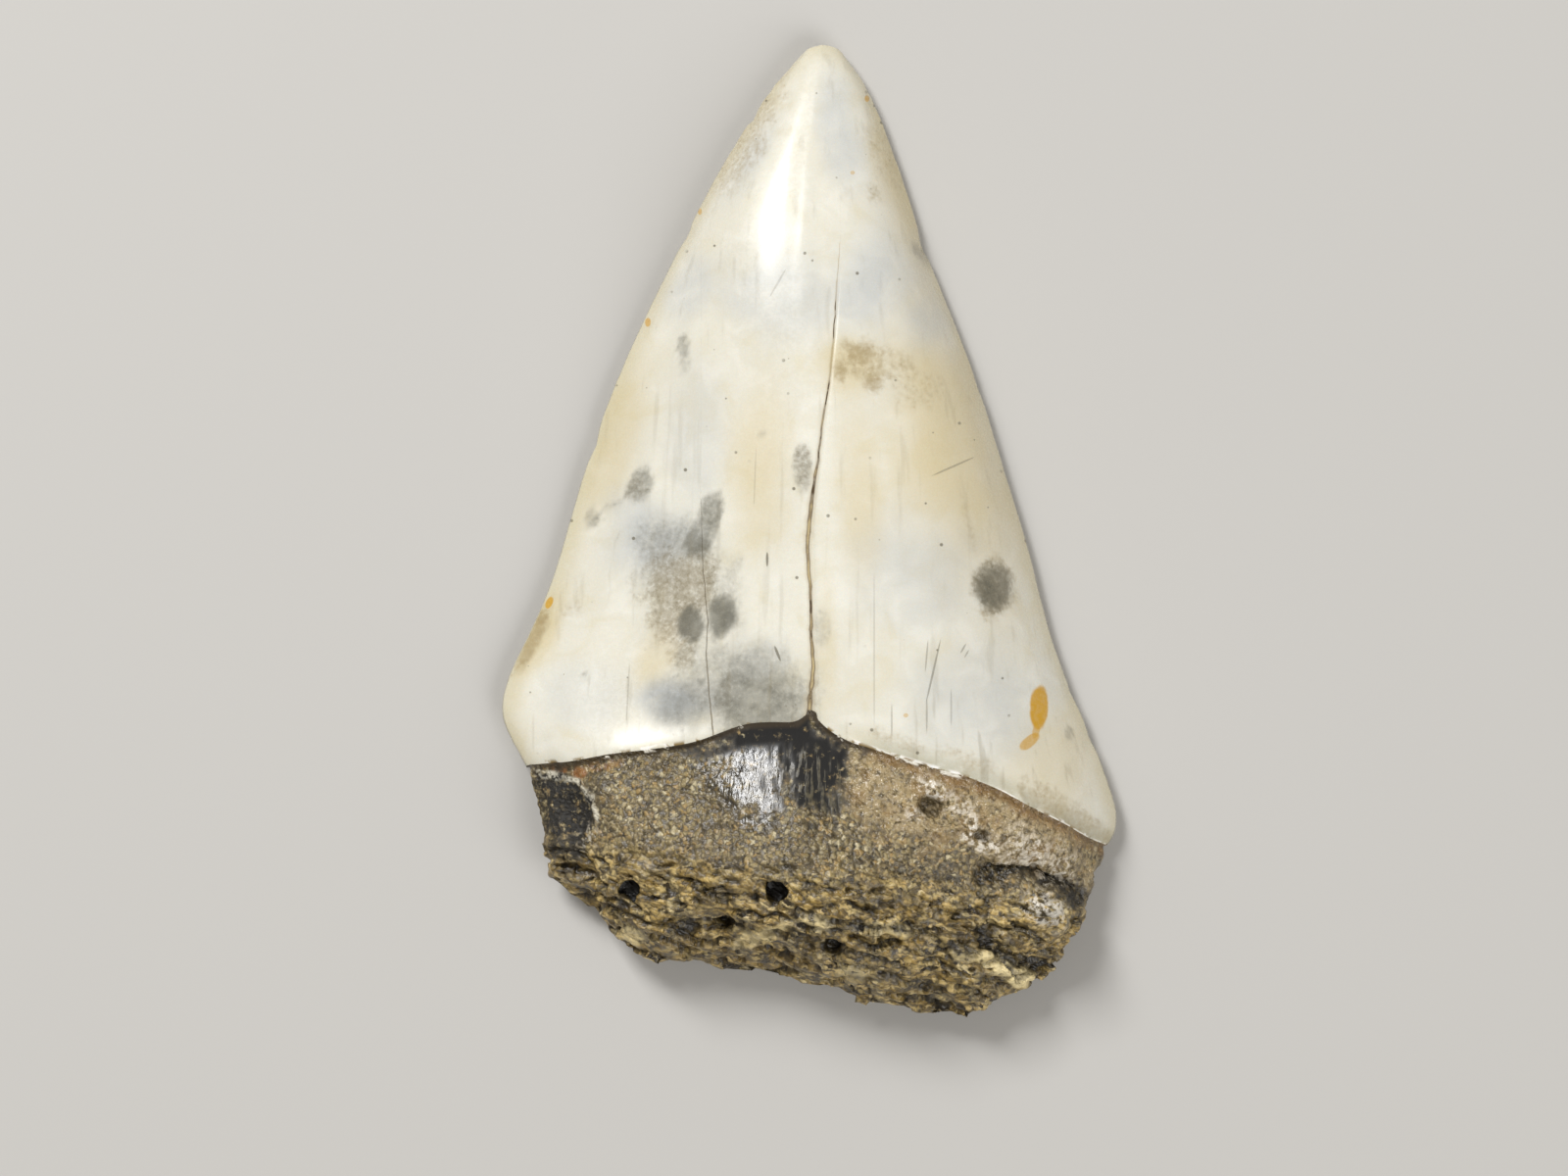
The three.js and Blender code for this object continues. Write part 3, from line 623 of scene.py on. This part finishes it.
shader.inputs["Subsurface Scale"].default_value = 1 * MM
tree.links.new(mask((fine, 0.3, 0.7, 0.21, 0.33)), shader.inputs["Roughness"])
ripple = add(tree, "Bump", {"Strength": 0.25, "Distance": 0.02 * MM, "Height": fibres})
groove = mask((beside_hairline, 0, 1.5))
dent = add(tree, "Bump", {"Distance": 0.04 * MM, "Height": groove, "Normal": ripple})
tree.links.new(dent, shader.inputs["Normal"])


# The tooth: its dentine
# The bone-like inside of the tooth, laid bare: dark with iron and manganese between grains
# of ochre and grey mineral. It is polished black at the neck, and tan beside it.
dentine.use_nodes = True
tree = dentine.node_tree
shader = tree.nodes["Principled BSDF"]
place = add(tree, "TexCoord", {}, out="Object")
field = {
    name: add(tree, "Attribute", {}, out="Fac", attribute_name=name)
    for name in (
        "below_enamel", "right", "white_rim", "neck", "matt", "glossy", "tan", "chip", "glinting_chip_rim",
        "broken", "hollow", "nodule", "painted_glint", "orange", "pore",
    )
}
mottle = add(
    tree, "TexNoise", {"Vector": place, "Scale": sized(0.3846), "Detail": 5, "Roughness": 0.6},
)
patches = add(tree, "TexNoise", {"Vector": place, "Scale": sized(1.111), "Detail": 4})
clouds = add(tree, "TexNoise", {"Vector": place, "Scale": sized(2.857), "Detail": 3})
along = add(tree, "VectorMath", {0: place, 1: (1, 0.1, 1)}, operation="MULTIPLY")
fibres = add(tree, "TexNoise", {"Vector": along, "Scale": sized(0.2381), "Detail": 3})

# The grains are cells about 0.25 mm wide, each with a tone of its own. Where the root is
# broken, they are wider and lie flat along its layers.
BEND = 0.5 * MM
bend = add(tree, "TexNoise", {"Vector": place, "Scale": sized(0.4), "Detail": 2}, out="Color")
bent = add(tree, "VectorMath", {0: bend, 1: (BEND,) * 3, 2: place}, operation="MULTIPLY_ADD")
laid = add(
    tree, "Mapping",
    {"Vector": bent, "Rotation": (0, 0, radians(-14)), "Scale": (1.7, 0.8, 1)},
    vector_type="TEXTURE",
)
domes = []
tones = []
for spot, width in ((bent, 0.25), (laid, 0.3333)):
    cells = add(tree, "TexVoronoi", {"Vector": spot, "Scale": sized(width)}, out="Distance")
    domes.append(cells)
    tones.append(add(tree, "SeparateColor", {"Color": cells.node.outputs["Color"]}, out="Red"))
dome = add(tree, "Mix", {"Factor": field["broken"], "A": domes[0], "B": domes[1]})
tone = add(tree, "Mix", {"Factor": field["broken"], "A": tones[0], "B": tones[1]})

# The polished neck shows fine streaks that begin 1.2 mm below the enamel; their lighter colour is partly
# painted glints along the striae.
streaks = mask(field["neck"], (field["below_enamel"], 1.2, 2.4), (fibres, 0.51, 0.62))
root_crumbs_and_glint = add(
    tree, "Math", {0: field["white_rim"], 1: 0.16, 2: patches}, operation="MULTIPLY_ADD",
)
surface = layered("#3b301c", [
    (mask((tone, 0.18, 0.24)), "#8d7d59"),
    (mask((tone, 0.46, 0.52)), "#ad9b6c"),
    (mask((tone, 0.74, 0.79)), "#b9985a"),
    (mask((tone, 0.89, 0.93)), "#e8dab0"),
    (mask((patches, 0.42, 0.58), field["broken"], 0.65), "#c5a355"),
    # Painted highlights: where the root is broken, some grains are painted pale gold, for the light the
    # granules catch.
    (mask((tone, 0.55, 0.62), field["broken"], 0.6), "#dcc282"),
    (mask((field["broken"], 0.7, 0.0, 0, 0.4)), "#8f8060"),
    (mask((dome, 0.38, 0.72, 0, 0.7)), "#2d2516"),
    (mask((mottle, 0.46, 0.34, 0, 0.8)), "#221b0e"),
    (mask((clouds, 0.54, 0.40, 0, 0.3)), "#554a36"),
    # The tan zone's light ground: its own tan, partly a painted sheen of its gloss.
    (mask(field["tan"], (mottle, 0.34, 0.60, 0.15, 0.75)), "#c2ac83"),
    (mask(field["tan"], (patches, 0.50, 0.64), 0.5), "#917345"),
    (mask(field["nodule"], (mottle, 0.30, 0.50)), "#f4e0a8"),
    # Painted glints: near-white spots where the glossy surface would catch the lamp.
    (mask(field["painted_glint"], (mottle, 0.46, 0.57)), "#f4eddf"),
    (mask(field["orange"], (mottle, 0.35, 0.55, 0, 0.9)), "#98622a"),
    (mask(field["chip"], (mottle, 0.60, 0.50)), "#1f1a10"),
    # Painted highlight along the chip's raised rim.
    (mask(field["glinting_chip_rim"], (mottle, 0.40, 0.52)), "#e6dfca"),
    (mask(field["neck"], (mottle, 0.68, 0.52)), "#15120c"),
    (mask(field["matt"], (mottle, 0.70, 0.56)), "#0b0906"),
    # Lighter streaks of the neck: striae, partly painted glints.
    (mask(streaks, (mottle, 0.38, 0.58, 0.25, 0.8)), "#635b45"),
    # Painted shade in the hollows, crevices, pits and voids.
    (mask(field["hollow"], (mottle, 0.62, 0.46, 0.5, 0.97)), "#1a150b"),
    # Painted shade: the pores are black inside.
    (field["pore"], "#0a0806"),
    (mask((field["below_enamel"], 1.0, 0.3), field["right"], (patches, 0.3, 0.6, 0.3, 0.8)), "#8d6c40"),
    # Painted shadow: a dark line just below the enamel's end, under its lip, darker on the left.
    (mask((field["below_enamel"], 0.45, 0.1), (field["right"], 1, 0, 0.35, 0.85)), "#3b2f1c"),
    # Pale crumbs under the enamel's end, partly a painted highlight of the broken rim.
    (mask((field["below_enamel"], 0.22, 0.1), (root_crumbs_and_glint, 0.62, 0.66)), "#f0eadb"),
])
tree.links.new(surface, shader.inputs["Base Color"])
shader.inputs["IOR"].default_value = 1.6  # near that of apatite
gloss = mask((field["glossy"], 0, 1, 0.34, 0.20))
dull = mask(field["matt"], (streaks, 0.1, 0.7, 0.65, 0.3))
tree.links.new(add(tree, "Math", {0: dull, 1: gloss}, operation="ADD"), shader.inputs["Roughness"])

# The surface is built up in bumps: grains, fine roughness, the swells of the glossy parts,
# and the streaks of the neck. The neck is calm but for its streaks.
calm = mask((field["neck"], 0, 0.8, 1, 0.06))
swells = add(tree, "TexNoise", {"Vector": place, "Scale": sized(0.5882), "Detail": 1})
normal = None
for strength, depth, height_of in (
    (mask(calm, 0.7), 0.10, mask((dome, 0.8, 0))),
    (mask(calm, 0.6), 0.13, mottle),
    (mask((field["glossy"], 0.3, 0.9), calm), 0.30, swells),
    (mask(field["neck"], 0.9), 0.08, fibres),
):
    bump = {"Strength": strength, "Distance": depth * MM, "Height": height_of}
    if normal is not None:
        bump["Normal"] = normal
    normal = add(tree, "Bump", bump)
tree.links.new(normal, shader.inputs["Normal"])

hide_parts("tooth")
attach(tooth, "root")


# The ground and the light
# The tooth lies on a wide sheet of pale matt card. A large lamp at the upper left draws the
# long highlight on the crown, and a weaker one across from it fills the shadows.
CARD_HALF_WIDTH = 1.5
CARD_GAP = 0.02 * MM
ground = bpy.data.objects.new("ground", bpy.data.meshes.new("ground"))
bpy.context.scene.collection.objects.link(ground)
sheet = bmesh.new()
bmesh.ops.create_grid(sheet, x_segments=1, y_segments=1, size=CARD_HALF_WIDTH)
bmesh.ops.translate(sheet, verts=sheet.verts, vec=(0, 0, -CARD_GAP))
sheet.to_mesh(ground.data)
sheet.free()
card = bpy.data.materials.new("pale_card")
card.use_nodes = True
shader = card.node_tree.nodes["Principled BSDF"]
shader.inputs["Base Color"].default_value = linear("#c6c4c0")
shader.inputs["Roughness"].default_value = 0.9
ground.data.materials.append(card)


def area_light(name, place, width, length, watts):
    """A rectangular lamp that faces the tooth, its place and size in metres."""
    lamp = bpy.data.objects.new(name, bpy.data.lights.new(name, "AREA"))
    lamp.data.shape = "RECTANGLE"
    lamp.data.size = width
    lamp.data.size_y = length
    lamp.data.energy = watts
    lamp.location = place
    lamp.rotation_euler = Vector(place).to_track_quat("Z", "Y").to_euler()
    bpy.context.scene.collection.objects.link(lamp)


area_light("key", (-0.205, 0.28, 0.395), width=0.14, length=0.22, watts=2.24)
area_light("fill", (0.30, -0.30, 0.38), width=0.4, length=0.4, watts=1.5)

world = bpy.data.worlds.new("studio")
world.use_nodes = True
world.node_tree.nodes["Background"].inputs["Color"].default_value = linear("#fffaf2")
world.node_tree.nodes["Background"].inputs["Strength"].default_value = 0.25
bpy.context.scene.world = world
bpy.context.scene.view_settings.view_transform = "Standard"
